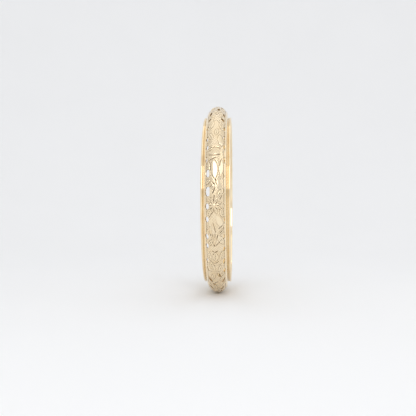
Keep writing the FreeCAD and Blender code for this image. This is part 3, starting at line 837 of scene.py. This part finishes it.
def engraved_gold(name, dark, light, tarnish_and_shade, grime_and_shadow):
    """Polished gold on the raised work, duller and browner down in the cuts: tarnish and painted
    shade in the cuts, grime and painted shadow in the deepest of them.
    """
    material, tree, shader = new_material(name)
    vector = position_in_mm(tree)
    cloud = noise(tree, vector, 0.4, 5.0)
    face = blend_colours(tree, remap(tree, cloud, 0.35, 0.65, 0.0, 1.0), dark, light)
    hollow = tree.nodes.new("ShaderNodeAttribute")
    hollow.attribute_name = "hollow"
    # Tarnish and painted shade darken each spot by how far it lies below its surroundings; grime
    # and painted shadow do the same in the deepest cuts.
    sunk = remap(tree, hollow.outputs["Fac"], *SUNK_RANGE, 0.0, 1.0)
    deep = remap(tree, hollow.outputs["Fac"], *DEEP_RANGE, 0.0, 1.0)
    cuts = wriggle_cuts(tree)
    # Painted shade: the cuts turn to the tarnish colour by their depth, partly real tarnish and
    # partly shade painted in.
    tarnished_and_shaded = stained_and_shaded(tree, face, sunk, tarnish_and_shade)
    # The fine wavy cuts get a share of the same tarnish and painted shade.
    tarnished_and_shaded = stained_and_shaded(tree, tarnished_and_shaded, remap(tree, cuts, 0.0, 1.0, 0.0, CUT_TARNISH_AND_SHADE), tarnish_and_shade)
    # Painted shadow: the deepest cuts turn near black, partly grime and partly shadow painted in.
    tree.links.new(stained_and_shaded(tree, tarnished_and_shaded, deep, grime_and_shadow), shader.inputs["Base Color"])
    smear = noise(tree, vector, 1.6, 6.0)
    polish = remap(tree, smear, 0.3, 0.7, 0.06, 0.13)
    dull = remap(tree, sunk, 0.0, 1.0, 0.0, 0.22)
    add = tree.nodes.new("ShaderNodeMath")
    add.operation = "ADD"
    tree.links.new(polish, add.inputs[0])
    tree.links.new(dull, add.inputs[1])
    tree.links.new(add.outputs["Value"], shader.inputs["Roughness"])
    marks = bump(tree, shader, scratched(tree, vector), 0.25, MARK_DEPTH)
    engraved = tree.nodes.new("ShaderNodeBump")
    engraved.invert = True
    engraved.inputs["Strength"].default_value = 0.6
    engraved.inputs["Distance"].default_value = CUT_DEPTH
    tree.links.new(cuts, engraved.inputs["Height"])
    tree.links.new(engraved.outputs["Normal"], marks.inputs["Normal"])
    return material


PALE_GOLD = (0.98, 0.83, 0.59)
DEEP_GOLD = (0.95, 0.78, 0.52)
# Brown of the tarnish and of the painted shade in the cuts.
TARNISH_AND_SHADE = (0.50, 0.33, 0.18)
# Near-black of the grime and of the painted shadow in the deepest cuts.
GRIME_AND_SHADOW = (0.07, 0.04, 0.02)
engraved = engraved_gold("engraved_gold", DEEP_GOLD, PALE_GOLD, TARNISH_AND_SHADE, GRIME_AND_SHADOW)
polished = gold("polished_gold", (0.93, 0.74, 0.48), (0.96, 0.81, 0.56), 0.05, 0.12, 0.12)
satin = gold("satin_gold", (0.78, 0.55, 0.29), (0.86, 0.63, 0.35), 0.24, 0.36, 0.35)
spring = gold("spring_gold", (0.74, 0.56, 0.33), (0.82, 0.64, 0.40), 0.18, 0.30, 0.3)


# ---------------------------------------------------------------------- pieces in place
for half_name, half in HALVES.items():
    build_dome(half_name, half, engraved)
    body = half_name + "_half"
    for side_name, side in SIDES.items():
        node = f"{half_name}_{side_name}_rail"
        piece = lathe_half(node + "_polished", rail_profile(side), half)
        stand_in(piece, node, body, polished)
        node = f"{half_name}_{side_name}_wire"
        piece = lathe_half(node + "_polished", wire_profile(side), half)
        stand_in(piece, node, body, polished)

SLOT_MATERIALS = {
    "gold_textured": engraved,
    "gold_polished": polished,
    "gold_satin": satin,
    "spring_gold": spring,
}
for entry in RECORD["subparts"]:
    node = frame["nodes"][entry["node"]]
    node.data.materials.clear()
    node.data.materials.append(SLOT_MATERIALS[entry["material_slot"]])


# ------------------------------------------------------------------------------ studio
FLOOR_WHITE = (0.93, 0.93, 0.93)
FLOOR_FLAT = 0.15         # radius of the level part, in metres
FLOOR_SWEEP = 0.45        # radius of the sweep up into the wall, in metres
FLOOR_TURNS = 96
FLOOR_BENDS = 24
ROOM_COLOUR = (0.97, 0.98, 1.0, 1.0)
ROOM_STRENGTH = 0.88
# Soft lights: name, place, what it points at, width and height in metres, power in watts.
LIGHTS = [
    ("window_light", (0.0, -0.30, 0.16), (0, 0, 0), (0.22, 0.18), 0.17),
    ("top_light", (0.0, -0.01, 0.27), (0, 0, 0), (0.30, 0.30), 0.06),
    ("wall_light", (0.0, 0.20, 0.42), (0.0, 0.60, 0.05), (0.50, 0.20), 0.12),
    ("fill_light", (0.28, -0.10, 0.16), (0, 0, 0), (0.16, 0.22), 0.06),
]
CAMERA_AZIMUTH = math.radians(3.06)
CAMERA_DISTANCE = 217.0   # mm from the ring's centre
CAMERA_SIDEWAYS = 4.05    # mm, so that the ring stands where it should in the frame
CAMERA_BELOW = 3.17
CAMERA_LENS = 49.15       # mm, on a sensor 36 mm wide


def matte(name, colour):
    material, tree, shader = new_material(name)
    shader.inputs["Metallic"].default_value = 0.0
    shader.inputs["Roughness"].default_value = 0.9
    shader.inputs["Specular IOR Level"].default_value = 0.0
    vector = position_in_mm(tree)
    cloud = noise(tree, vector, 0.01, 2.0)
    tint = blend_colours(tree, cloud, tuple(0.97 * part for part in colour), colour)
    tree.links.new(tint, shader.inputs["Base Color"])
    return material


def studio_floor():
    """A pale round floor that sweeps slowly up into a wall all round."""
    base = cad_box[0][2]
    profile = [(0.0, base), (FLOOR_FLAT / 2, base), (FLOOR_FLAT, base)]
    for step in range(1, FLOOR_BENDS + 1):
        angle = math.pi / 2 * step / FLOOR_BENDS
        reach = FLOOR_FLAT + FLOOR_SWEEP * math.sin(angle)
        profile.append((reach, base + FLOOR_SWEEP * (1 - math.cos(angle))))
    places = []
    for turn in range(FLOOR_TURNS):
        angle = 2 * math.pi * turn / FLOOR_TURNS
        for reach, height in profile:
            places.append((reach * math.cos(angle), reach * math.sin(angle), height))
    count = len(profile)
    faces = []
    for turn in range(FLOOR_TURNS):
        following = (turn + 1) % FLOOR_TURNS
        for step in range(1, count - 1):
            faces.append([
                turn * count + step,
                following * count + step,
                following * count + step + 1,
                turn * count + step + 1,
            ])
    faces.append([turn * count + 1 for turn in range(FLOOR_TURNS)])
    floor = make_object("studio_floor", np.array(places), faces, FLOOR_SHARP_ANGLE)
    floor.data.materials.append(matte("studio_white", FLOOR_WHITE))


def area_light(name, place, aim, size, power):
    light = bpy.data.lights.new(name, "AREA")
    light.shape = "RECTANGLE"
    light.size, light.size_y = size
    light.energy = power
    lamp = bpy.data.objects.new(name, light)
    lamp.location = place
    direction = Vector(aim) - Vector(place)
    lamp.rotation_euler = direction.to_track_quat("-Z", "Y").to_euler()
    bpy.context.scene.collection.objects.link(lamp)


def studio():
    studio_floor()
    world = bpy.data.worlds.new("studio_world")
    world.use_nodes = True
    background = world.node_tree.nodes["Background"]
    background.inputs["Color"].default_value = ROOM_COLOUR
    background.inputs["Strength"].default_value = ROOM_STRENGTH
    bpy.context.scene.world = world
    for entry in LIGHTS:
        area_light(*entry)


def camera():
    """The photograph's viewpoint: level, a little to the right of the ring's plane."""
    forward = Vector((-math.sin(CAMERA_AZIMUTH), math.cos(CAMERA_AZIMUTH), 0))
    right = Vector((math.cos(CAMERA_AZIMUTH), math.sin(CAMERA_AZIMUTH), 0))
    below = Vector((0, 0, CAMERA_BELOW))
    lens = bpy.data.cameras.new("camera")
    lens.sensor_width = 36.0
    lens.lens = CAMERA_LENS
    lens.clip_start = 0.005
    lens.clip_end = 5.0
    eye = bpy.data.objects.new("camera", lens)
    eye.location = (-CAMERA_DISTANCE * forward - CAMERA_SIDEWAYS * right - below) * MM
    eye.rotation_euler = forward.to_track_quat("-Z", "Y").to_euler()
    bpy.context.scene.collection.objects.link(eye)
    bpy.context.scene.camera = eye


studio()
camera()
bpy.context.scene.view_settings.view_transform = "Standard"
